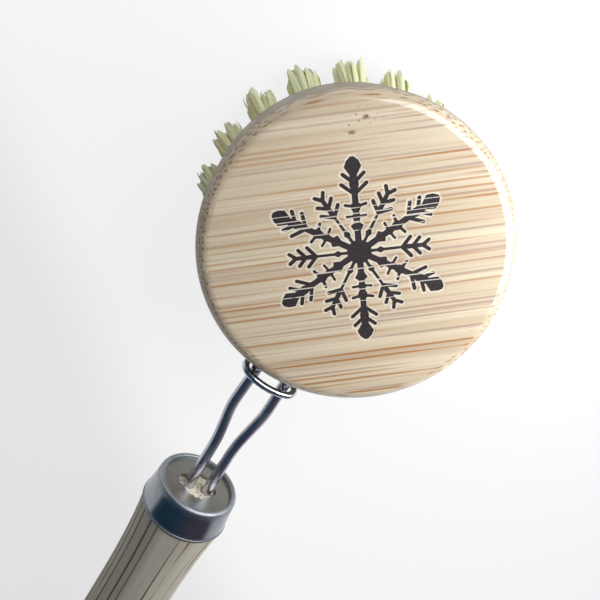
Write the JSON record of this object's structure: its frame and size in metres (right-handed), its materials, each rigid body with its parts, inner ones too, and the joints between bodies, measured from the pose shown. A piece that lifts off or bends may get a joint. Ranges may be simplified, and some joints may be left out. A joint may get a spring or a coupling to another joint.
{
  "type": "dish brush",
  "caption": "Round bamboo dish brush head with plant-fibre tufts on a sprung wire fork, with a sliding clip ring and a turned handle.",
  "frame": {"origin": "centre of the head's flat top face", "axes": "+Z out of the head's flat top face, bristles towards -Z; +Y from the head towards the handle's tail; +X across"},
  "size_m": [0.0593, 0.2483, 0.04],
  "materials": {
    "bamboo": "satin lacquer",
    "handle_bamboo": "matt, streaked",
    "bristle_fibre": "matt plant fibre",
    "wire_steel": "polished drawn wire",
    "cap_steel": "polished",
    "anchor_steel": "plain flat wire"
  },
  "bodies": {
    "handle_unit": {"handle": "handle_bamboo", "ferrule": "cap_steel", "left_fork_wire": "wire_steel", "right_fork_wire": "wire_steel"},
    "ring": {"clip_ring": "wire_steel"},
    "head": {"head_block": "bamboo", "tuft_anchors": "anchor_steel", "tuft_centre": "bristle_fibre", "tuft_inner_01": "bristle_fibre", "tuft_inner_02": "bristle_fibre", "tuft_inner_03": "bristle_fibre", "tuft_inner_04": "bristle_fibre", "tuft_inner_05": "bristle_fibre", "tuft_inner_06": "bristle_fibre", "tuft_middle_01": "bristle_fibre", "tuft_middle_02": "bristle_fibre", "tuft_middle_03": "bristle_fibre", "tuft_middle_04": "bristle_fibre", "tuft_middle_05": "bristle_fibre", "tuft_middle_06": "bristle_fibre", "tuft_middle_07": "bristle_fibre", "tuft_middle_08": "bristle_fibre", "tuft_middle_09": "bristle_fibre", "tuft_middle_10": "bristle_fibre", "tuft_middle_11": "bristle_fibre", "tuft_middle_12": "bristle_fibre", "tuft_outer_01": "bristle_fibre", "tuft_outer_02": "bristle_fibre", "tuft_outer_03": "bristle_fibre", "tuft_outer_04": "bristle_fibre", "tuft_outer_05": "bristle_fibre", "tuft_outer_06": "bristle_fibre", "tuft_outer_07": "bristle_fibre", "tuft_outer_08": "bristle_fibre", "tuft_outer_09": "bristle_fibre", "tuft_outer_10": "bristle_fibre", "tuft_outer_11": "bristle_fibre", "tuft_outer_12": "bristle_fibre", "tuft_outer_13": "bristle_fibre", "tuft_outer_14": "bristle_fibre", "tuft_outer_15": "bristle_fibre", "tuft_outer_16": "bristle_fibre", "tuft_outer_17": "bristle_fibre", "tuft_outer_18": "bristle_fibre"}
  },
  "joints": [
    {"name": "ring_slide", "type": "slide", "parent": "handle_unit", "child": "ring", "axis": [0, 0.9938, -0.1115], "range_m": [0, 0.0235]},
    {"name": "head_pull", "type": "slide", "parent": "handle_unit", "child": "head", "axis": [0, -0.9938, 0.1115], "range_m": [0, 0.018]}
  ]
}
